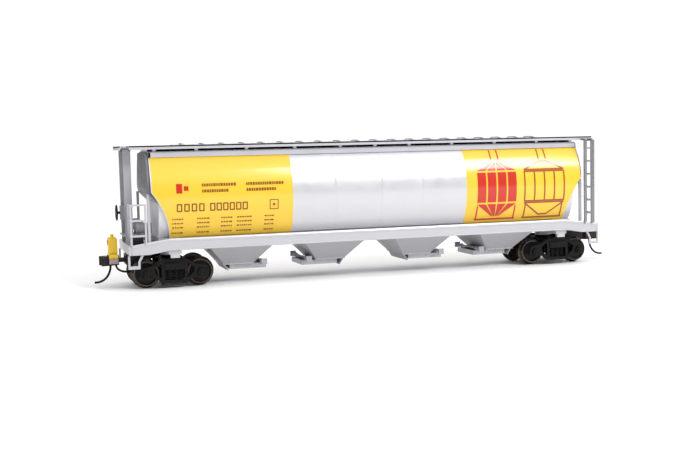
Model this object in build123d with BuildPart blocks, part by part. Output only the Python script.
"""Four-bay cylindrical covered hopper car, HO scale (1:87.1).

Frame: X along the car, Y across it, Z up. The origin is on the centre line, midway between the
ends, at the bottom of the wheel flanges. The B end, with the hand brake, is at -X and the A end
at +X. Near means -Y and far means +Y. Millimetres.
"""
from build123d import *
from math import cos, radians, sin, sqrt
import os

os.makedirs("parts", exist_ok=True)

# ---- driving dimensions ------------------------------------------------------------------
# Track and wheels
flange_depth = 0.7                   # rail head above the flange bottoms
tread_radius = 4.85
wheel_back = 7.2                     # inner wheel faces from the centre line
wheel_width = 2.8
axle_z = flange_depth + tread_radius
truck_x = 80.0                       # truck centres from the middle of the car
axle_x = 10.1                        # axles from the truck centre
needle_tip = 12.9

# Body
body_end = 88.3                      # end walls from the middle
body_half_width = 18.3
side_radius = 25.0                   # the sides are arcs of a cylinder
side_centre_z = 33.5
body_bottom = 18.9
end_wall_bottom = 36.0               # the ends slope inwards below this height
slope_inset = 17.0                   # how far the slope sheet runs in below the end wall
side_inset = 6.6                     # how far the side's lower corner is cut back
side_inset_mid = 5.2                 # and how far its edge is cut back halfway up
chord_bottom = 48.7
eave_z = 50.6
chord_y = 13.5
sheet = 1.0                          # wall thickness of the mouldings
thin = 0.5

# Roof and walkways
coaming_y = 4.6
coaming_top = 52.6
hatch_y = 5.1
hatch_top = 53.4
hatch_half_length = 77.8
hatch_count = 4
walk_inner = 8.6
walk_outer = 15.0
walk_top = 53.1
walk_edge = 51.7
walk_end = 95.2
platform_end = 98.6
platform_y = 9.4

# Underframe
bolster_half = 2.4
centre_plate_radius = 3.2
screw_radius = 1.05
frame_end = 96.9
sill_y = 17.5
sill_top = 18.9
sill_bottom = 14.5
end_sill_top = 16.9
end_sill_bottom = 13.3
bay_x = [-55.0, -18.3, 18.3, 55.0]
bay_half_top = 11.8
bay_half_bottom = 5.6
bay_top = 14.4
bay_bottom = 7.2
outlet_bottom = 4.9
outlet_y = 9.0

# Ladders
ladder_y = 18.2
ladder_x = (90.4, 93.6)
rung_pitch = 5.4
rung_z = [21.2 + rung_pitch * step for step in range(6)]
bar = 0.7                            # section of a ladder bar
clear = 0.05                         # gap between pieces of one body

# Couplers
coupler_z = 10.4
pocket_x = 91.0                      # coupler pivot
knuckle_x = 102.0
knuckle_y = 1.5
coupler_face = 106.3

end_turns = {"a_end": 0, "b_end": 180}


def save(part, name):
    """Label a finished piece and write it."""
    part.label = name
    export_step(part, f"parts/{name}.step")


def save_at_both_ends(part, name):
    """Write the A-end piece, and the same piece given half a turn for the B end."""
    for end, turn in end_turns.items():
        with BuildPart() as placed:
            add(part, rotation=(0, 0, turn))
        save(placed.part, f"{end}_{name}")


def copies_at_both_ends(part):
    """The A-end piece and its half-turn copy, as separate solids of one node."""
    with BuildPart() as pair:
        for turn in end_turns.values():
            add(part, rotation=(0, 0, turn))
    return pair.part


def side_y(z, inset=0.0):
    """Half width of the body at height z."""
    return sqrt((side_radius - inset) ** 2 - (z - side_centre_z) ** 2) - (side_radius - body_half_width)


def section(bottom, top, inset):
    """Cross-section of the body between two heights, drawn in the current sketch."""
    with BuildLine() as outline:
        for side in (-1, 1):
            ThreePointArc(
                (side * side_y(bottom, inset), bottom),
                (side * side_y((bottom + top) / 2, inset), (bottom + top) / 2),
                (side * side_y(top, inset), top),
            )
        Line((-side_y(bottom, inset), bottom), (side_y(bottom, inset), bottom))
        Line((-side_y(top, inset), top), (side_y(top, inset), top))
    make_face(outline.edges())


# ---- body --------------------------------------------------------------------------------
# The store: the space inside the shell, bounded by the end walls and the slope sheets.
with BuildPart() as store:
    with BuildSketch(Plane.YZ.offset(-body_end)):
        section(body_bottom, eave_z, sheet)
    extrude(amount=2 * body_end)
    with BuildSketch(Plane.XZ):
        with BuildLine():
            Polyline(
                (-body_end + slope_inset + sheet, body_bottom),
                (body_end - slope_inset - sheet, body_bottom),
                (body_end - sheet, end_wall_bottom),
                (body_end - sheet, eave_z),
                (-body_end + sheet, eave_z),
                (-body_end + sheet, end_wall_bottom),
                close=True,
            )
        make_face()
    extrude(amount=body_half_width, both=True, mode=Mode.INTERSECT)

# The open wedge between the side sheets, outside each slope sheet.
with BuildPart() as wedges:
    with BuildSketch(Plane.YZ.offset(-body_end)):
        section(body_bottom, end_wall_bottom, sheet)
    extrude(amount=2 * body_end)
    with BuildSketch(Plane.XZ):
        for side in (-1, 1):
            with BuildLine():
                Polyline(
                    (side * (body_end - slope_inset), body_bottom),
                    (side * body_end, end_wall_bottom),
                    (side * body_end, body_bottom),
                    close=True,
                )
            make_face()
    extrude(amount=body_half_width, both=True, mode=Mode.INTERSECT)

with BuildPart() as body_shell:
    with BuildSketch(Plane.YZ.offset(-body_end)):
        section(body_bottom, eave_z, 0)
        with Locations((0, (chord_bottom + eave_z) / 2)):
            Rectangle(2 * chord_y, eave_z - chord_bottom)
    extrude(amount=2 * body_end)
    # The lower corners of the sides are cut back along a curve.
    with BuildSketch(Plane.XZ):
        with BuildLine():
            for side in (-1, 1):
                ThreePointArc(
                    (side * (body_end - side_inset), body_bottom),
                    (side * (body_end - side_inset_mid), (body_bottom + end_wall_bottom) / 2 - sheet),
                    (side * body_end, end_wall_bottom),
                )
                Line((side * body_end, end_wall_bottom), (side * body_end, eave_z))
            Line((-body_end, eave_z), (body_end, eave_z))
            Line((-body_end + side_inset, body_bottom), (body_end - side_inset, body_bottom))
        make_face()
    extrude(amount=body_half_width, both=True, mode=Mode.INTERSECT)
    add(store.part, mode=Mode.SUBTRACT)
    add(wedges.part, mode=Mode.SUBTRACT)
save(body_shell.part, "body_shell")

# Roof sheet with the coaming of the loading trough.
roof_crown = 51.4
with BuildPart() as roof:
    with BuildSketch(Plane.YZ.offset(-body_end)):
        with BuildLine():
            for side in (-1, 1):
                Polyline(
                    (side * chord_y, eave_z),
                    (side * chord_y, eave_z + thin / 2),
                    (side * (coaming_y + thin), roof_crown),
                    (0, roof_crown),
                )
            Line((-chord_y, eave_z), (chord_y, eave_z))
        make_face()
    extrude(amount=2 * body_end)
    with BuildSketch(Plane.XY.offset(roof_crown)):
        Rectangle(2 * hatch_half_length, 2 * coaming_y)
        Rectangle(2 * (hatch_half_length - sheet), 2 * (coaming_y - sheet), mode=Mode.SUBTRACT)
    extrude(amount=coaming_top - roof_crown)
save(roof.part, "roof")

# Trough hatch covers, end to end along the coaming.
cover_length = 2 * hatch_half_length / hatch_count
cover_x = [-hatch_half_length + cover_length * (number + 0.5) for number in range(hatch_count)]
cover_rise = 0.35
with BuildPart() as hatch_covers:
    for x in cover_x:
        with BuildSketch(Plane.YZ.offset(x - cover_length / 2 + clear)):
            with BuildLine():
                Line((-hatch_y, coaming_top), (hatch_y, coaming_top))
                Line((hatch_y, coaming_top), (hatch_y, hatch_top - cover_rise))
                ThreePointArc(
                    (hatch_y, hatch_top - cover_rise), (0, hatch_top), (-hatch_y, hatch_top - cover_rise)
                )
                Line((-hatch_y, hatch_top - cover_rise), (-hatch_y, coaming_top))
            make_face()
        extrude(amount=cover_length - 2 * clear)
save(hatch_covers.part, "hatch_covers")

# Locking bars across the covers, hooked over both edges.
latch_width = 0.9
latches_per_cover = 5
latch_pitch = cover_length / latches_per_cover
latch_x = [cover_x[0] - cover_length / 2 + latch_pitch * (step + 0.5)
           for step in range(hatch_count * latches_per_cover)]
latch_lift = 0.45
latch_flat = 3.0                     # half length of the bar's level middle
with BuildPart() as hatch_latches:
    for x in latch_x:
        with BuildSketch(Plane.YZ.offset(x - latch_width / 2)):
            with BuildLine():
                for side in (-1, 1):
                    Polyline(
                        (side * latch_flat, hatch_top + latch_lift),
                        (side * (hatch_y + thin), hatch_top - cover_rise + thin / 2),
                        (side * (hatch_y + thin), coaming_top - thin),
                        (side * (hatch_y + clear), coaming_top - thin),
                        (side * (hatch_y + clear), hatch_top - cover_rise + clear),
                        (side * latch_flat, hatch_top + clear),
                    )
                Line((-latch_flat, hatch_top + latch_lift), (latch_flat, hatch_top + latch_lift))
                Line((-latch_flat, hatch_top + clear), (latch_flat, hatch_top + clear))
            make_face()
        extrude(amount=latch_width)
save(hatch_latches.part, "hatch_latches")

# Running boards along both sides of the trough, on brackets that stand on the roof.
bracket_x = [0, 14.3, 32.6, 51.4, 70.4, 86.0]
bracket_places = sorted({side * x for x in bracket_x for side in (-1, 1)})
board_mid = (walk_inner + walk_outer) / 2
with BuildPart() as running_boards:
    for side in (-1, 1):
        with BuildSketch(Plane.XY.offset(walk_top - thin)):
            with Locations((0, side * board_mid)):
                Rectangle(2 * walk_end, walk_outer - walk_inner)
        extrude(amount=thin)
        with BuildSketch(Plane.XY.offset(walk_edge)):
            with Locations((0, side * (walk_outer - bar / 2))):
                Rectangle(2 * walk_end, bar)
        extrude(amount=walk_top - thin - walk_edge)
        with BuildSketch(Plane.XY.offset(eave_z + thin + clear)):
            with Locations(*[(x, side * (chord_y - sheet)) for x in bracket_places]):
                Rectangle(bar, 2 * sheet)
        extrude(amount=walk_top - thin - eave_z - thin - clear)
save(running_boards.part, "running_boards")

# Cross platforms at the ends of the roof.
platform_start = body_end + clear
with BuildPart() as end_platform:
    with BuildSketch(Plane.XY.offset(walk_top - thin)):
        with Locations(((platform_start + platform_end) / 2, 0)):
            Rectangle(platform_end - platform_start, 2 * (walk_inner - clear))
        with Locations(((walk_end + clear + platform_end) / 2, 0)):
            Rectangle(platform_end - walk_end - clear, 2 * platform_y)
    extrude(amount=thin)
    with BuildSketch(Plane.XY.offset(walk_edge)):
        with Locations((platform_end - bar / 2, 0)):
            Rectangle(bar, 2 * platform_y)
    extrude(amount=walk_top - thin - walk_edge)
save(copies_at_both_ends(end_platform.part), "end_platforms")

# ---- underframe --------------------------------------------------------------------------
# Side sills: channels with two raised lines, lower beyond the body than under it.
sill_start = 82.0
sill_slope_end = 89.5
sill_inner = 13.9
line_inset = 0.35                    # raised lines from the sill's edges
with BuildPart() as side_sills:
    for side in (-1, 1):
        with BuildSketch(Plane.XZ.offset(-side * sill_y)):
            with BuildLine():
                for end in (-1, 1):
                    Polyline(
                        (0, sill_top),
                        (end * sill_start, sill_top),
                        (end * sill_slope_end, sill_top - sheet),
                        (end * (frame_end - sheet), end_sill_top),
                        (end * (frame_end - sheet), end_sill_bottom),
                        (end * sill_slope_end, end_sill_bottom),
                        (end * sill_start, sill_bottom),
                        (0, sill_bottom),
                    )
            make_face()
        extrude(amount=side * sheet)
        for z in (sill_bottom + line_inset, sill_top - line_inset):
            with BuildSketch(Plane.XZ.offset(-side * sill_y)):
                with Locations((0, z)):
                    Rectangle(2 * sill_start, thin)
            extrude(amount=-side * thin / 2)
        with BuildSketch(Plane.XY.offset(sill_top - thin)):
            with Locations((0, side * (sill_inner + sill_y) / 2)):
                Rectangle(2 * sill_start, sill_y - sill_inner - clear)
        extrude(amount=thin)
save(side_sills.part, "side_sills")

# Floor pan closing the shell between the bolsters.
floor_end = 76.5
floor_z = bay_top + clear
pan_half_length = body_end - slope_inset - 2 * sheet
pan_half_width = sill_inner - sheet
with BuildPart() as floor_pan:
    with BuildSketch(Plane.XY.offset(floor_z)):
        Rectangle(2 * floor_end, 2 * (sill_y - sheet - clear))
    extrude(amount=sheet)
    with BuildSketch(Plane.XY.offset(floor_z + sheet)):
        Rectangle(2 * pan_half_length, 2 * pan_half_width)
        Rectangle(2 * (pan_half_length - sheet), 2 * (pan_half_width - sheet), mode=Mode.SUBTRACT)
    extrude(amount=body_bottom - floor_z - sheet - clear)
save(floor_pan.part, "floor_pan")

# Steel weight, lying in the floor pan.
weight_half_length = 62.0
weight_half_width = 11.0
weight_thickness = 2.6
weight_corner = 1.5
with BuildPart() as steel_weight:
    with BuildSketch(Plane.XY.offset(floor_z + sheet + clear)):
        Rectangle(2 * weight_half_length, 2 * weight_half_width)
    extrude(amount=weight_thickness)
    fillet(steel_weight.edges().filter_by(Axis.Z), radius=weight_corner)
save(steel_weight.part, "steel_weight")

# Stub sills from the bolsters to the ends, tapped for the coupler pocket screws.
stub_half = 2.6
stub_bottom = 12.75
stub_start = truck_x + centre_plate_radius + clear
stub_end = frame_end - sheet - clear
with BuildPart() as stub_sill:
    with BuildSketch(Plane.XY.offset(stub_bottom)):
        with Locations(((stub_start + stub_end) / 2, 0)):
            Rectangle(stub_end - stub_start, 2 * stub_half)
    extrude(amount=end_sill_top - thin - clear - stub_bottom)
    with Locations((pocket_x, 0, end_sill_top)):
        Hole(radius=screw_radius, depth=2 * (end_sill_top - stub_bottom))
save(copies_at_both_ends(stub_sill.part), "stub_sills")

# Body bolsters: a deep beam with a centre plate, a bottom flange and jacking pads, and the
# upright web under the slope sheet with its side gussets.
centre_plate_z = 11.6
flange_z = 13.0
pad_z = 11.6
pad_y = 15.7
pad_length = 3.4
pad_width = 1.4
web_x = 85.6
web_top = 32.3
with BuildPart() as body_bolster:
    with BuildSketch(Plane.XY.offset(flange_z)):
        with Locations((truck_x, 0)):
            Rectangle(2 * bolster_half, 2 * (sill_y - sheet - clear))
    extrude(amount=sill_top - thin - clear - flange_z)
    with BuildSketch(Plane.XY.offset(centre_plate_z)):
        with Locations((truck_x, 0)):
            Circle(centre_plate_radius)
    extrude(amount=flange_z - centre_plate_z)
    with BuildSketch(Plane.XY.offset(pad_z)):
        with Locations(*[(truck_x, side * pad_y) for side in (-1, 1)]):
            Rectangle(pad_length, pad_width)
    extrude(amount=flange_z - pad_z)
    # Shear plate from the bolster to the end web.
    with BuildSketch(Plane.XY.offset(end_sill_top + clear)):
        with Locations(((truck_x - bolster_half + web_x) / 2, 0)):
            Rectangle(web_x - truck_x + bolster_half, 2 * (sill_inner - clear))
    extrude(amount=sill_top - end_sill_top - clear)
    with Locations((truck_x, 0, centre_plate_z)):
        Hole(radius=screw_radius, depth=sill_top - centre_plate_z)
save(copies_at_both_ends(body_bolster.part), "body_bolsters")

# End web under the slope sheet, with gussets that show at the sides.
gusset_x = 81.6
with BuildPart() as web_hollow:
    with BuildSketch(Plane.XY.offset(sill_top)):
        with Locations(((gusset_x + web_x - sheet) / 2, 0)):
            Rectangle(web_x - sheet - gusset_x, 2 * (side_y(sill_top) - 3 * sheet))
    extrude(amount=web_top - sill_top)
with BuildPart() as end_web:
    with BuildSketch(Plane.YZ.offset(gusset_x)):
        section(sill_top + clear, web_top, sheet + clear)
    extrude(amount=web_x - gusset_x)
    with BuildSketch(Plane.XZ):
        with BuildLine():
            Polyline(
                (web_x, sill_top),
                (gusset_x, sill_top),
                (gusset_x, sill_top + slope_inset / 2 + sheet),
                (web_x, web_top),
                close=True,
            )
        make_face()
    extrude(amount=body_half_width, both=True, mode=Mode.INTERSECT)
    add(web_hollow.part, mode=Mode.SUBTRACT)
save(copies_at_both_ends(end_web.part), "end_webs")

# Hopper bays: hollow chutes that narrow from the sills to the outlets. The end sheet away from
# the gate's slide reaches down past the side sheets.
bay_top_y = 16.4
with BuildPart() as bay:
    with BuildSketch(Plane.XY.offset(bay_top)):
        Rectangle(2 * bay_half_top, 2 * bay_top_y)
    with BuildSketch(Plane.XY.offset(bay_bottom)):
        Rectangle(2 * bay_half_bottom, 2 * outlet_y)
    loft()
    with BuildSketch(Plane.XY.offset(bay_top)):
        Rectangle(2 * (bay_half_top - sheet), 2 * (bay_top_y - sheet))
    with BuildSketch(Plane.XY.offset(bay_bottom + sheet)):
        Rectangle(2 * (bay_half_bottom - thin), 2 * (outlet_y - thin))
    loft(mode=Mode.SUBTRACT)
bay_fall = (bay_half_top - bay_half_bottom) / (bay_top - bay_bottom)
skirt_x = bay_half_bottom - bay_fall * (bay_bottom - outlet_bottom)
gate_ways = [1, -1, 1, -1]           # bays 1 and 3 open towards +X, bays 2 and 4 towards -X
for number, (x, way) in enumerate(zip(bay_x, gate_ways), start=1):
    with BuildPart() as hopper_bay:
        with Locations((x, 0, 0)):
            add(bay.part)
        with BuildSketch(Plane.XZ):
            with BuildLine():
                Polyline(
                    (x - way * (bay_half_bottom - thin), bay_bottom),
                    (x - way * bay_half_bottom, bay_bottom),
                    (x - way * (skirt_x + thin), outlet_bottom),
                    (x - way * skirt_x, outlet_bottom),
                    close=True,
                )
            make_face()
        extrude(amount=outlet_y, both=True)
    save(hopper_bay.part, f"hopper_bay_{number}")

# Outlet gates under the bays: a frame, its slide and the rack rails.
gate_reach = 11.2
gate_back = 3.2
gate_top = bay_bottom - clear
gate_low = 5.3
rail_width = 0.9
rail_y = 7.4
with BuildPart() as outlet_gates:
    for x, way in zip(bay_x, gate_ways):
        mid = x + way * (gate_reach - gate_back) / 2
        with BuildSketch(Plane.XY.offset(gate_low)):
            with Locations(*[(mid, side * rail_y) for side in (-1, 1)]):
                Rectangle(gate_reach + gate_back, rail_width)
            with Locations((x + way * (gate_reach - rail_width / 2), 0)):
                Rectangle(rail_width, 2 * rail_y)
            with Locations((x - way * (gate_back - rail_width / 2), 0)):
                Rectangle(rail_width, 2 * rail_y)
        extrude(amount=gate_top - gate_low)
        with BuildSketch(Plane.XY.offset(gate_low + thin)):
            with Locations((mid, 0)):
                Rectangle(gate_reach + gate_back - rail_width, 2 * rail_y)
        extrude(amount=thin)
save(outlet_gates.part, "outlet_gates")

# Operating shafts of the gates: a bar across each gate with square ends and two pinions.
shaft_x = 9.4
shaft_radius = 0.45
pinion_radius = 0.8
shaft_z = gate_top + pinion_radius + clear
socket = 1.1                         # half size of the square drive ends
shaft_reach = 12.0
with BuildPart() as gate_shafts:
    for x, way in zip(bay_x, gate_ways):
        with BuildSketch(Plane.XZ):
            with Locations((x + way * shaft_x, shaft_z)):
                Circle(shaft_radius)
        extrude(amount=shaft_reach, both=True)
        for side in (-1, 1):
            with BuildSketch(Plane.XZ.offset(side * rail_y)):
                with Locations((x + way * shaft_x, shaft_z)):
                    Circle(pinion_radius)
            extrude(amount=rail_width / 2, both=True)
            with BuildSketch(Plane.XZ.offset(side * shaft_reach)):
                with Locations((x + way * shaft_x, shaft_z)):
                    Rectangle(2 * socket, 2 * socket)
            extrude(amount=socket / 2, both=True)
save(gate_shafts.part, "gate_shafts")

# End sills, each with a flange that covers the end of the frame.
with BuildPart() as end_sill:
    with BuildSketch(Plane.YZ.offset(frame_end - sheet)):
        with Locations((0, (end_sill_bottom + end_sill_top) / 2)):
            Rectangle(2 * sill_y, end_sill_top - end_sill_bottom)
    extrude(amount=sheet)
    with BuildSketch(Plane.XY.offset(end_sill_top - thin)):
        with Locations(((body_end + frame_end) / 2, 0)):
            Rectangle(frame_end - body_end, 2 * (sill_y - sheet - clear))
    extrude(amount=thin)
save(copies_at_both_ends(end_sill.part), "end_sills")

# ---- ladders, grabs and steps ------------------------------------------------------------
ladder_top = 52.2
ladder_shift = 1.2                   # the B-end ladder stands this much nearer the end
with BuildPart() as side_ladder:
    for x in ladder_x:
        with BuildSketch(Plane.XY.offset(end_sill_top + clear)):
            with Locations((x, -ladder_y + bar / 2)):
                Rectangle(bar, bar)
        extrude(amount=ladder_top - end_sill_top - clear)
        with BuildSketch(Plane.XY.offset(ladder_top - bar)):
            with Locations((x, -(ladder_y + walk_outer + clear) / 2)):
                Rectangle(bar, ladder_y - walk_outer - clear)
        extrude(amount=bar)
    for z in rung_z:
        with BuildSketch(Plane.YZ.offset(ladder_x[0])):
            with Locations((-ladder_y + bar / 2, z)):
                Rectangle(thin, thin)
        extrude(amount=ladder_x[1] - ladder_x[0])
with BuildPart() as side_ladders:
    add(side_ladder.part)
    with Locations((-ladder_shift, 0, 0)):
        add(side_ladder.part, rotation=(0, 0, 180))
save(side_ladders.part, "side_ladders")

end_ladder_y = (-15.9, -9.9)
end_ladder_x = 95.6
with BuildPart() as end_ladder:
    for y in end_ladder_y:
        with BuildSketch(Plane.XY.offset(end_sill_top + clear)):
            with Locations((end_ladder_x, y)):
                Rectangle(bar, bar)
        extrude(amount=walk_edge - thin - end_sill_top - clear)
    for z in rung_z:
        with BuildSketch(Plane.XZ.offset(-end_ladder_y[0])):
            with Locations((end_ladder_x, z)):
                Rectangle(thin, thin)
        extrude(amount=end_ladder_y[0] - end_ladder_y[1])
    with BuildSketch(Plane.XY.offset(walk_edge - thin)):
        with Locations((end_ladder_x, (end_ladder_y[0] + end_ladder_y[1]) / 2)):
            Rectangle(bar, end_ladder_y[1] - end_ladder_y[0] + bar)
    extrude(amount=thin - clear)
save(copies_at_both_ends(end_ladder.part), "end_ladders")

# Low grab frames at the corners that have no full ladder.
grab_x = (90.6, 95.9)
grab_top = 32.0
grab_rungs = (20.4, 26.0, 31.65)
grab_return_y = 9.0                  # inner post of the part that faces the end
with BuildPart() as grab_frame:
    for x in grab_x:
        with BuildSketch(Plane.XY.offset(end_sill_top + clear)):
            with Locations((x, ladder_y - bar / 2)):
                Rectangle(bar, bar)
        extrude(amount=grab_top - end_sill_top - clear)
    for z in grab_rungs:
        with BuildSketch(Plane.YZ.offset(grab_x[0])):
            with Locations((ladder_y - bar / 2, z)):
                Rectangle(bar, bar)
        extrude(amount=grab_x[1] - grab_x[0])
    for z in grab_rungs:
        with BuildSketch(Plane.XZ.offset(-ladder_y + bar / 2)):
            with Locations((grab_x[1], z)):
                Rectangle(thin, thin)
        extrude(amount=ladder_y - bar / 2 - grab_return_y)
    with BuildSketch(Plane.XY.offset(end_sill_top + clear)):
        with Locations((grab_x[1], grab_return_y)):
            Rectangle(bar, bar)
    extrude(amount=grab_top - end_sill_top - clear)
save(copies_at_both_ends(grab_frame.part), "grab_frames")

# Corner braces from the sill to the body at each corner.
brace_x = 89.2
brace_y = 15.9
brace_top = 35.5
with BuildPart() as corner_braces:
    for end in (-1, 1):
        for side in (-1, 1):
            with BuildSketch(Plane.XY.offset(end_sill_top + clear)):
                with Locations((end * brace_x, side * brace_y)):
                    Rectangle(sheet, sheet)
            extrude(amount=brace_top - end_sill_top - clear)
save(corner_braces.part, "corner_braces")

# Sill steps at the four corners.
step_x = (92.9, 97.3)
step_y = 17.0
step_bottom = 8.2
step_bar = 0.8
step_corner = 0.4                    # the bars thicken where they meet
strap_drop = 2.4                     # height of the strap's slanting upper part
strap_lean = 1.4
with BuildPart() as sill_steps:
    for end in (-1, 1):
        for side in (-1, 1):
            with BuildSketch(Plane.XZ.offset(-side * step_y)):
                with BuildLine():
                    Polyline(
                        (end * (step_x[1] - step_bar), end_sill_bottom - clear),
                        (end * step_x[1], end_sill_bottom - clear),
                        (end * step_x[1], step_bottom),
                        (end * step_x[0], step_bottom),
                        (end * step_x[0], end_sill_bottom - strap_drop - 0.2),
                        (end * (step_x[0] - strap_lean), end_sill_bottom - clear),
                        (end * (step_x[0] - strap_lean + sheet), end_sill_bottom - clear),
                        (end * (step_x[0] + step_bar), end_sill_bottom - strap_drop),
                        (end * (step_x[0] + step_bar), step_bottom + step_bar + step_corner),
                        (end * (step_x[1] - step_bar), step_bottom + step_bar + step_corner),
                        close=True,
                    )
                make_face()
            extrude(amount=side * thin)
save(sill_steps.part, "sill_steps")

# ---- brake gear --------------------------------------------------------------------------
brake_wheel_y = 4.5
brake_wheel_z = 28.0
brake_wheel_radius = 3.1
brake_rim = 0.7
brake_hub_radius = 0.8
brake_spindle_radius = 0.5
stand_x = 95.0
post_y = (-7.0, 6.7)
post_x = 95.4
post_depth = 2.8
post_mid_y = sum(post_y) / 2
platform_z = 19.6
brake_step_width = 15.0
brake_step_out = 0.6                 # how far the step stands out past the frame's flange
chest_depth = 2.4
chest_width = 3.6
chest_height = 5.2
with BuildPart() as brake_stand:
    # Step under the hand brake, two posts up to the end platform and the brake's gear case.
    with BuildSketch(Plane.XY.offset(platform_z)):
        with Locations((-(body_end + frame_end) / 2 - brake_step_out, 0)):
            Rectangle(frame_end - body_end, brake_step_width)
    extrude(amount=thin)
    with BuildSketch(Plane.XY.offset(end_sill_top + clear)):
        with Locations(*[(-post_x, y) for y in post_y]):
            Rectangle(post_depth, sheet)
    extrude(amount=walk_edge - thin - end_sill_top - clear)
    with BuildSketch(Plane.XY.offset(brake_wheel_z - chest_height / 2)):
        with Locations((-stand_x - chest_depth / 2, brake_wheel_y)):
            Rectangle(chest_depth, chest_width)
    extrude(amount=chest_height)
    with BuildSketch(Plane.XY.offset(walk_edge - thin)):
        with Locations((-stand_x, post_mid_y)):
            Rectangle(sheet, post_y[1] - post_y[0] + sheet)
    extrude(amount=thin - clear)
save(brake_stand.part, "brake_stand")

spindle_length = 1.3
hub_front = stand_x + chest_depth + clear
wheel_plane_x = hub_front + spindle_length
brake_spokes = 5
with BuildPart() as brake_wheel:
    with BuildSketch(Plane.YZ.offset(-wheel_plane_x - thin / 2)):
        with Locations((brake_wheel_y, brake_wheel_z)):
            Circle(brake_wheel_radius)
            Circle(brake_wheel_radius - brake_rim, mode=Mode.SUBTRACT)
            with PolarLocations(brake_wheel_radius / 2, brake_spokes):
                Rectangle(brake_wheel_radius - brake_rim / 2, thin)
            Circle(brake_hub_radius)
    extrude(amount=thin)
    with BuildSketch(Plane.YZ.offset(-wheel_plane_x)):
        with Locations((brake_wheel_y, brake_wheel_z)):
            Circle(brake_spindle_radius)
    extrude(amount=spindle_length)
save(brake_wheel.part, "brake_wheel")

# Brake cylinder and air reservoir, standing on the step behind the slope sheet.
step_top = platform_z + thin + clear
cylinder_y = -5.2
cylinder_z = 22.4
cylinder_radius = 2.0
cylinder_x = (-92.6, -87.0)
cylinder_foot_x = -89.8
with BuildPart() as brake_cylinder:
    with BuildSketch(Plane.YZ.offset(cylinder_x[0])):
        with Locations((cylinder_y, cylinder_z)):
            Circle(cylinder_radius)
    extrude(amount=cylinder_x[1] - cylinder_x[0])
    with BuildSketch(Plane.XY.offset(step_top)):
        with Locations((cylinder_foot_x, cylinder_y)):
            Rectangle(3.6, 2.4)
    extrude(amount=cylinder_z - cylinder_radius + thin - step_top)
save(brake_cylinder.part, "brake_cylinder")

reservoir_x = -91.2
reservoir_y = (-0.4, 9.0)
reservoir_z = 23.2
reservoir_radius = 2.3
with BuildPart() as air_reservoir:
    with BuildSketch(Plane.XZ.offset(-reservoir_y[1])):
        with Locations((reservoir_x, reservoir_z)):
            Circle(reservoir_radius)
    extrude(amount=reservoir_y[1] - reservoir_y[0])
    fillet(air_reservoir.edges().filter_by(GeomType.CIRCLE), radius=0.8)
    with BuildSketch(Plane.XY.offset(step_top)):
        with Locations((reservoir_x, sum(reservoir_y) / 2)):
            Rectangle(2.6, sheet)
    extrude(amount=reservoir_z - reservoir_radius + sheet - step_top)
save(air_reservoir.part, "air_reservoir")

# Control valve on the end sill's flange, a ribbed block.
valve_x = (-95.2, -91.2)
valve_y = (-14.6, -11.6)
valve_ribs = 4
valve_height = 2.2
valve_rib_height = 1.1
with BuildPart() as control_valve:
    with BuildSketch(Plane.XY.offset(end_sill_top + clear)):
        with Locations((sum(valve_x) / 2, sum(valve_y) / 2)):
            Rectangle(valve_x[1] - valve_x[0], valve_y[1] - valve_y[0])
    extrude(amount=valve_height)
    with BuildSketch(Plane.XY.offset(end_sill_top + clear + valve_height)):
        with Locations((sum(valve_x) / 2, sum(valve_y) / 2)):
            with GridLocations((valve_x[1] - valve_x[0]) / valve_ribs, 1, valve_ribs, 1):
                Rectangle(thin, valve_y[1] - valve_y[0])
    extrude(amount=valve_rib_height)
save(control_valve.part, "control_valve")

# ---- couplers ----------------------------------------------------------------------------
# Coupler pockets under the stub sills, closed by lids from below.
box_end = 96.8
box_start = 87.4
box_half = 4.0
box_top = 12.7
box_wall = 0.7
lid_bottom = 8.75
lid_thickness = 0.6
post_radius = 1.5
with BuildPart() as draft_box:
    with BuildSketch(Plane.XY.offset(lid_bottom + lid_thickness)):
        with Locations(((box_start + box_end) / 2, 0)):
            Rectangle(box_end - box_start, 2 * box_half)
    extrude(amount=box_top - lid_bottom - lid_thickness)
    with BuildSketch(Plane.XY.offset(lid_bottom + lid_thickness)):
        with Locations(((box_start + box_wall + box_end) / 2, 0)):
            Rectangle(box_end - box_start - box_wall, 2 * (box_half - box_wall))
    extrude(amount=box_top - box_wall - lid_bottom - lid_thickness, mode=Mode.SUBTRACT)
    with BuildSketch(Plane.XY.offset(lid_bottom + lid_thickness)):
        with Locations((pocket_x, 0)):
            Circle(post_radius)
    extrude(amount=box_top - lid_bottom - lid_thickness)
    with Locations((pocket_x, 0, box_top)):
        Hole(radius=screw_radius, depth=2 * box_top)
save(copies_at_both_ends(draft_box.part), "draft_boxes")

with BuildPart() as draft_lid:
    with BuildSketch(Plane.XY.offset(lid_bottom)):
        with Locations(((box_start + box_end) / 2, 0)):
            Rectangle(box_end - box_start, 2 * box_half)
        with Locations((pocket_x, 0)):
            Circle(screw_radius, mode=Mode.SUBTRACT)
    extrude(amount=lid_thickness - clear / 2)
save(copies_at_both_ends(draft_lid.part), "draft_lids")

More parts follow.
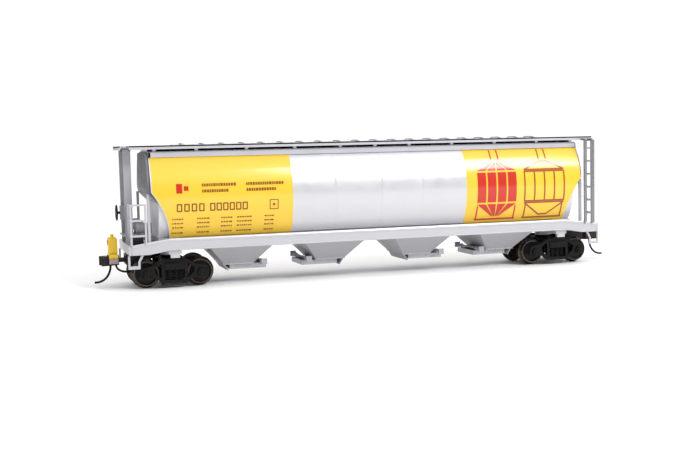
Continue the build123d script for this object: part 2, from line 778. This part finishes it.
# Bronze centring springs: a flat strip across each pocket with an arm on either side of the
# shank, clear of it over its whole swing.
spring_sheet = 0.2
spring_arm_y = 3.0
spring_base_z = 11.6
spring_x = pocket_x + 3.4
spring_base_width = 1.6
spring_arm_width = 2.4
with BuildPart() as centring_spring:
    with BuildSketch(Plane.XY.offset(spring_base_z)):
        with Locations((spring_x, 0)):
            Rectangle(spring_base_width, 2 * spring_arm_y)
    extrude(amount=spring_sheet)
    for side in (-1, 1):
        with BuildSketch(Plane.XY.offset(lid_bottom + lid_thickness + clear)):
            with Locations((spring_x + (spring_arm_width - spring_base_width) / 2, side * spring_arm_y)):
                Rectangle(spring_arm_width, spring_sheet)
        extrude(amount=spring_base_z + spring_sheet - lid_bottom - lid_thickness - clear)
save(copies_at_both_ends(centring_spring.part), "centring_springs")

# Identical screws: the pivot of each truck and the screw of each coupler pocket.
screw_length = 7.4
screw_head_radius = 1.9
screw_head = 0.8
thread_radius = 1.0
truck_screw_z = 6.8
slot_width = 0.4
with BuildPart() as mounting_screws:
    for end in (-1, 1):
        for x, z in ((truck_x, truck_screw_z), (pocket_x, lid_bottom)):
            with BuildSketch(Plane.XY.offset(z - screw_head)):
                with Locations((end * x, 0)):
                    Circle(screw_head_radius)
            extrude(amount=screw_head)
            with BuildSketch(Plane.XY.offset(z)):
                with Locations((end * x, 0)):
                    Circle(thread_radius)
            extrude(amount=screw_length)
            with BuildSketch(Plane.XY.offset(z - screw_head)):
                with Locations((end * x, 0)):
                    Rectangle(2 * screw_head_radius, slot_width)
            extrude(amount=screw_head / 2, mode=Mode.SUBTRACT)
save(mounting_screws.part, "mounting_screws")

# Coupler heads: an eye on the pocket's post, the shank, the head with its guard arm, and two
# ears that hold the knuckle.
shank_bottom = coupler_z - 0.8
shank_top = coupler_z + 0.8
shank_half = 1.2
eye_radius = 2.4
eye_gap = 0.06
head_bottom = coupler_z - 1.8
head_top = coupler_z + 1.8
head_start = 99.0
ear = 0.65
hub_radius = 1.25
hub_gap = 0.15
pin_radius = 0.35
pin_gap = 0.05
with BuildPart() as coupler_head:
    with BuildSketch(Plane.XY.offset(shank_bottom)):
        with Locations((pocket_x, 0)):
            Circle(eye_radius)
        with Locations(((pocket_x + head_start + sheet) / 2, 0)):
            Rectangle(head_start + sheet - pocket_x, 2 * shank_half)
        with Locations((pocket_x, 0)):
            Circle(post_radius + eye_gap, mode=Mode.SUBTRACT)
    extrude(amount=shank_top - shank_bottom)
    with BuildSketch(Plane.XY.offset(head_bottom)):
        with BuildLine():
            Polyline(
                (head_start, -shank_half),
                (head_start + 0.8, -2.4),
                (knuckle_x - 0.9, -2.7),
                (knuckle_x - 0.9, 0.5),
                (knuckle_x + 0.8, 1.5),
                (knuckle_x + 3.2, 2.6),
                (knuckle_x + 3.8, 3.6),
                (knuckle_x + 3.2, 3.9),
                (knuckle_x, 3.1),
                (head_start + 0.8, 2.4),
                (head_start, shank_half),
                close=True,
            )
        make_face()
        with Locations((knuckle_x, -knuckle_y)):
            Circle(hub_radius + hub_gap, mode=Mode.SUBTRACT)
    extrude(amount=head_top - head_bottom)
    for z in (head_bottom, head_top - ear):
        with BuildSketch(Plane.XY.offset(z)):
            with Locations((knuckle_x, -knuckle_y)):
                Circle(hub_radius + hub_gap)
                Circle(pin_radius + pin_gap, mode=Mode.SUBTRACT)
        extrude(amount=ear)
save_at_both_ends(coupler_head.part, "coupler_head")

nose_back = knuckle_x + hub_radius + hub_gap + 0.15
nose_top = 0.75                      # top of the nose's tail, from the pivot
nose_sunk = 0.1                      # the nose stands this much inside the head's height
with BuildPart() as knuckle:
    with BuildSketch(Plane.XY.offset(head_bottom + ear + clear)):
        with Locations((knuckle_x, -knuckle_y)):
            Circle(hub_radius)
        with BuildLine():
            Polyline(
                (knuckle_x, -knuckle_y - hub_radius),
                (nose_back + 0.4, -knuckle_y - hub_radius),
                (nose_back + 0.4, -knuckle_y + nose_top),
                (knuckle_x, -knuckle_y + hub_radius),
                close=True,
            )
        make_face()
    extrude(amount=head_top - head_bottom - 2 * ear - 2 * clear)
    with BuildSketch(Plane.XY.offset(head_bottom + nose_sunk)):
        with BuildLine():
            Polyline(
                (nose_back, -knuckle_y - hub_radius),
                (coupler_face - 0.7, -knuckle_y - hub_radius + 0.3),
                (coupler_face, -knuckle_y + 0.1),
                (coupler_face, 0.5),
                (coupler_face - 0.9, 0.9),
                (coupler_face - 1.3, -0.3),
                (nose_back, -knuckle_y + nose_top),
                close=True,
            )
        make_face()
    extrude(amount=head_top - head_bottom - 2 * nose_sunk)
    with Locations((knuckle_x, -knuckle_y, head_top)):
        Hole(radius=pin_radius, depth=2 * head_top)
save_at_both_ends(knuckle.part, "knuckle")

# The uncoupling pin: the knuckle's pivot above, and a thicker wire that curves outwards below.
pin_sunk = 0.1                       # how far the pivot ends below the head's top
wire_radius = 0.45
wire_top = head_bottom - clear
wire_bend = 2.6
wire_route = [                       # in X and Z, X from the pivot
    (0, wire_top),
    (0, 5.6),
    (2.3, 2.9),
    (6.2, 2.1),
]
with BuildPart() as uncoupling_pin:
    with BuildSketch(Plane((knuckle_x, -knuckle_y, wire_top))):
        Circle(pin_radius)
    extrude(amount=head_top - pin_sunk - wire_top)
    with BuildLine(Plane.XZ.offset(knuckle_y)):
        FilletPolyline(*[(knuckle_x + x, z) for x, z in wire_route], radius=wire_bend)
    with BuildSketch(Plane((knuckle_x, -knuckle_y, wire_top))):
        Circle(wire_radius)
    sweep()
save_at_both_ends(uncoupling_pin.part, "uncoupling_pin")

# ---- rear marker at the B end ------------------------------------------------------------
# A yellow lamp housing clamped over the coupler's shank. It swings with the coupler.
marker_x = (-102.9, -99.5)
marker_mid = sum(marker_x) / 2
marker_length = marker_x[1] - marker_x[0]
marker_half = 2.3
clamp_bottom = 11.25
clamp_top = 12.85
cheek_y = 3.75
marker_top = 19.2
lens_z = 17.2
lens_radius = 1.1
lens_rise = 0.3
marker_chamfer = 0.6
stub_radius = 0.6
stub_height = 1.1
with BuildPart() as marker_clamp:
    with BuildSketch(Plane.XY.offset(head_top + clear)):
        with Locations((marker_mid, 0)):
            Rectangle(marker_length, 2 * cheek_y + thin)
    extrude(amount=clamp_top - head_top - clear)
    with BuildSketch(Plane.XY.offset(clamp_bottom)):
        with Locations(*[(marker_mid, side * cheek_y) for side in (-1, 1)]):
            Rectangle(marker_length, thin)
    extrude(amount=clamp_top - clamp_bottom)
save(marker_clamp.part, "marker_clamp")

with BuildPart() as marker_housing:
    with BuildSketch(Plane.XY.offset(clamp_top + clear)):
        with Locations((marker_mid, 0)):
            Rectangle(marker_length, 2 * marker_half)
    extrude(amount=marker_top - clamp_top - clear)
    chamfer(marker_housing.faces().sort_by(Axis.Z)[-1].edges(), length=marker_chamfer)
    with BuildSketch(Plane.XY.offset(marker_top)):
        with Locations((marker_mid, 0)):
            Circle(stub_radius)
    extrude(amount=stub_height)
    with Locations(Plane((marker_x[0], 0, lens_z), x_dir=(0, 1, 0), z_dir=(-1, 0, 0))):
        Hole(radius=lens_radius + clear, depth=thin)
save(marker_housing.part, "marker_housing")

with BuildPart() as marker_lens:
    with BuildSketch(Plane.YZ.offset(marker_x[0] + thin - clear)):
        with Locations((0, lens_z)):
            Circle(lens_radius)
    extrude(amount=-thin - lens_rise)
    fillet(marker_lens.faces().sort_by(Axis.X)[0].edges(), radius=0.25)
save(marker_lens.part, "marker_lens")

# The marker's air fitting under the near cheek of the clamp, and its hose: a stiff moulded bend
# back below the coupler pocket, with a hose head at its end.
fitting_y = -4.0
fitting_bottom = 9.3
fitting_width = 1.0
with BuildPart() as marker_fitting:
    with BuildSketch(Plane.XY.offset(fitting_bottom)):
        with Locations((marker_mid, fitting_y)):
            Rectangle(marker_length, fitting_width)
    extrude(amount=clamp_bottom - clear - fitting_bottom)
save(marker_fitting.part, "marker_fitting")

hose_radius = 0.4
hose_head_radius = 0.7
hose_bend = 1.5
hose_route = [
    (-100.5, fitting_y, fitting_bottom - clear),
    (-100.5, fitting_y, 8.5),
    (-99.1, -3.6, 7.1),
    (-97.3, -3.0, 6.2),
    (-95.9, -2.5, 6.0),
]

with BuildPart() as marker_hose:
    with BuildLine() as hose_path:
        FilletPolyline(*hose_route, radius=hose_bend)
    with BuildSketch(Plane(hose_route[0])):
        Circle(hose_radius)
    sweep()
    with Locations(hose_route[-1]):
        Sphere(radius=hose_head_radius)
save(marker_hose.part, "marker_hose")

# ---- trucks ------------------------------------------------------------------------------
frame_inner = 11.5
frame_outer = 13.3
journal_radius = 0.5
journal_gap = 0.06
pivot_gap = 0.08
cap_radius = 1.75
cap_out = 0.8
window_half = 3.7
window_bottom = 3.2
window_top = 9.7
bowl_top = 11.5
bowl_radius = 3.3
bowl_base = 10.45
bolster_bottom = 6.95
bolster_shoulder = 9.55
bolster_half_width = 2.9
block_depth = 1.2                    # half depth of the bolster's ends in the sideframe windows

frame_edge = 0.25
half_outline = [                     # half a sideframe in X and Z, from its top to its bottom
    (0, 11.2),
    (4.2, 11.2),
    (7.6, 8.9),
    (11.9, 8.0),
    (12.8, 7.0),
    (12.8, 4.4),
    (12.0, 3.7),
    (8.2, 3.7),
    (7.2, 4.3),
    (4.6, 1.9),
    (0, 1.9),
]
side_opening = [                     # the opening between a window and an axle
    (4.9, 3.9),
    (6.9, 5.5),
    (7.5, 7.5),
    (4.9, 9.3),
]

# One sideframe, on the near side of a truck that stands at x = 0.
with BuildPart() as sideframe:
    with BuildSketch(Plane.XZ.offset(frame_inner)):
        with BuildLine():
            for side in (-1, 1):
                Polyline(*[(side * x, z) for x, z in half_outline])
        make_face()
        with Locations((0, (window_bottom + window_top) / 2)):
            Rectangle(2 * window_half, window_top - window_bottom, mode=Mode.SUBTRACT)
        for side in (-1, 1):
            with BuildLine():
                Polyline(*[(side * x, z) for x, z in side_opening], close=True)
            make_face(mode=Mode.SUBTRACT)
    extrude(amount=frame_outer - frame_inner)
    chamfer(sideframe.faces().sort_by(Axis.Y)[0].outer_wire().edges(), length=frame_edge)
    for side in (-1, 1):
        with BuildSketch(Plane.XZ.offset(frame_outer)):
            with Locations((side * axle_x, axle_z)):
                Circle(cap_radius)
        extrude(amount=cap_out, taper=12)
        with BuildSketch(Plane.XZ.offset(frame_inner)):
            with Locations((side * axle_x, axle_z)):
                Circle(journal_radius + journal_gap)
        extrude(amount=needle_tip + 2 * clear - frame_inner, mode=Mode.SUBTRACT)

# The bolster with its end blocks, centre bowl and the brake beams hung from it.
beam_x = 3.9
beam_z = 4.9
beam_radius = 0.5
hanger_x = 3.2
hanger_z = 6.0
hanger_width = 1.3
hanger_height = 2.2
hanger_half = 1.6
shoe_inner = tread_radius + 0.35
shoe_outer = shoe_inner + 0.8
shoe_span = 20.0
shoe_y = 8.9
shoe_half = 0.55
with BuildPart() as truck_bolster:
    with BuildSketch(Plane.XY.offset(bolster_bottom)):
        Rectangle(2 * bolster_half_width, 2 * frame_inner)
        with Locations(*[(0, side * (frame_inner + frame_outer) / 2) for side in (-1, 1)]):
            Rectangle(2 * (window_half - clear), 2 * block_depth)
    extrude(amount=bolster_shoulder - bolster_bottom)
    with BuildSketch(Plane.XY.offset(bolster_shoulder)):
        Rectangle(2 * bolster_half_width, 2 * shoe_y)
    extrude(amount=bowl_base - bolster_shoulder)
    with BuildSketch(Plane.XY.offset(bowl_base)):
        Circle(bowl_radius)
    extrude(amount=bowl_top - bowl_base)
    for side in (-1, 1):
        with BuildSketch(Plane.XZ):
            with Locations((side * beam_x, beam_z)):
                Circle(beam_radius)
        extrude(amount=shoe_y, both=True)
        with BuildSketch(Plane.XZ):
            with Locations((side * hanger_x, hanger_z)):
                Rectangle(hanger_width, hanger_height)
        extrude(amount=hanger_half, both=True)
        for wheel_side in (-1, 1):
            with BuildSketch(Plane.XZ.offset(wheel_side * shoe_y - shoe_half)):
                with BuildLine():
                    for radius in (shoe_inner, shoe_outer):
                        CenterArc(
                            (side * axle_x, axle_z),
                            radius,
                            (180 if side > 0 else 0) - shoe_span,
                            2 * shoe_span,
                        )
                    for turn in (-shoe_span, shoe_span):
                        Line(
                            (side * (axle_x - shoe_inner * cos(radians(turn))),
                             axle_z + shoe_inner * sin(radians(turn))),
                            (side * (axle_x - shoe_outer * cos(radians(turn))),
                             axle_z + shoe_outer * sin(radians(turn))),
                        )
                make_face()
            extrude(amount=2 * shoe_half)
    with Locations((0, 0, bowl_top)):
        Hole(radius=thread_radius + pivot_gap, depth=2 * bowl_top)

# Spring nests in the sideframe windows: three coils on each side, moulded on a back plate.
coil_radius = 0.8
coil_pitch = 2.2
coil_gap = 0.02
coil_places = [(coil_pitch * step, side * (frame_inner + frame_outer) / 2)
               for step in (-1, 0, 1) for side in (-1, 1)]
with BuildPart() as truck_springs:
    with BuildSketch(Plane.XY.offset(window_bottom + coil_gap)):
        with Locations(*coil_places):
            Circle(coil_radius)
        with Locations(*[(0, side * (frame_inner + thin / 2)) for side in (-1, 1)]):
            Rectangle(2 * (window_half - clear), thin)
    extrude(amount=bolster_bottom - window_bottom - 2 * coil_gap)

truck_sides = {"near": 0, "far": 180}
for end, way in (("b_end", -1), ("a_end", 1)):
    for side, turn in truck_sides.items():
        with BuildPart() as placed_frame:
            with Locations((way * truck_x, 0, 0)):
                add(sideframe.part, rotation=(0, 0, turn))
        save(placed_frame.part, f"{end}_sideframe_{side}")
    with BuildPart() as placed_bolster:
        with Locations((way * truck_x, 0, 0)):
            add(truck_bolster.part)
    save(placed_bolster.part, f"{end}_truck_bolster")
    with BuildPart() as placed_springs:
        with Locations((way * truck_x, 0, 0)):
            add(truck_springs.part)
    save(placed_springs.part, f"{end}_truck_springs")

# ---- wheelsets ---------------------------------------------------------------------------
seat_radius = 0.9
hub = 1.7
rim = 0.85
flange_radius = tread_radius + flange_depth
wheel_front = wheel_back + wheel_width
axle_body = 1.0
axle_places = [end * truck_x + side * axle_x for end in (-1, 1) for side in (-1, 1)]
for number, x in enumerate(axle_places, start=1):
    centre = Plane((x, 0, axle_z))
    with BuildPart() as axle:
        with BuildSketch(centre):
            with BuildLine():
                Polyline(
                    (0, -needle_tip),
                    (journal_radius, -needle_tip + 0.8),
                    (journal_radius, -wheel_front - 0.1),
                    (seat_radius, -wheel_front - 0.1),
                    (seat_radius, -wheel_back + 0.3),
                    (axle_body, -wheel_back + 0.3),
                    (axle_body, wheel_back - 0.3),
                    (seat_radius, wheel_back - 0.3),
                    (seat_radius, wheel_front + 0.1),
                    (journal_radius, wheel_front + 0.1),
                    (journal_radius, needle_tip - 0.8),
                    (0, needle_tip),
                    close=True,
                )
            make_face()
        revolve(axis=Axis((x, 0, axle_z), (0, 1, 0)))
    save(axle.part, f"axle_{number}")
    with BuildPart() as wheels:
        with BuildSketch(centre):
            for side in (-1, 1):
                with BuildLine():
                    Polyline(
                        (seat_radius, side * (wheel_back - 0.2)),
                        (hub, side * (wheel_back - 0.2)),
                        (hub, side * (wheel_back + 0.6)),
                        (tread_radius - rim, side * (wheel_back + 0.9)),
                        (tread_radius - rim, side * wheel_back),
                        (flange_radius - 0.2, side * wheel_back),
                        (flange_radius, side * (wheel_back + 0.25)),
                        (flange_radius - 0.2, side * (wheel_back + 0.7)),
                        (tread_radius, side * (wheel_back + 0.95)),
                        (tread_radius - 0.1, side * wheel_front),
                        (tread_radius - rim, side * wheel_front),
                        (tread_radius - rim - 0.1, side * (wheel_back + 1.7)),
                        (hub + 0.1, side * (wheel_back + 1.5)),
                        (hub - 0.1, side * (wheel_front - 0.2)),
                        (seat_radius, side * (wheel_front - 0.2)),
                        close=True,
                    )
                make_face()
        revolve(axis=Axis((x, 0, axle_z), (0, 1, 0)))
    save(wheels.part, f"wheels_{number}")
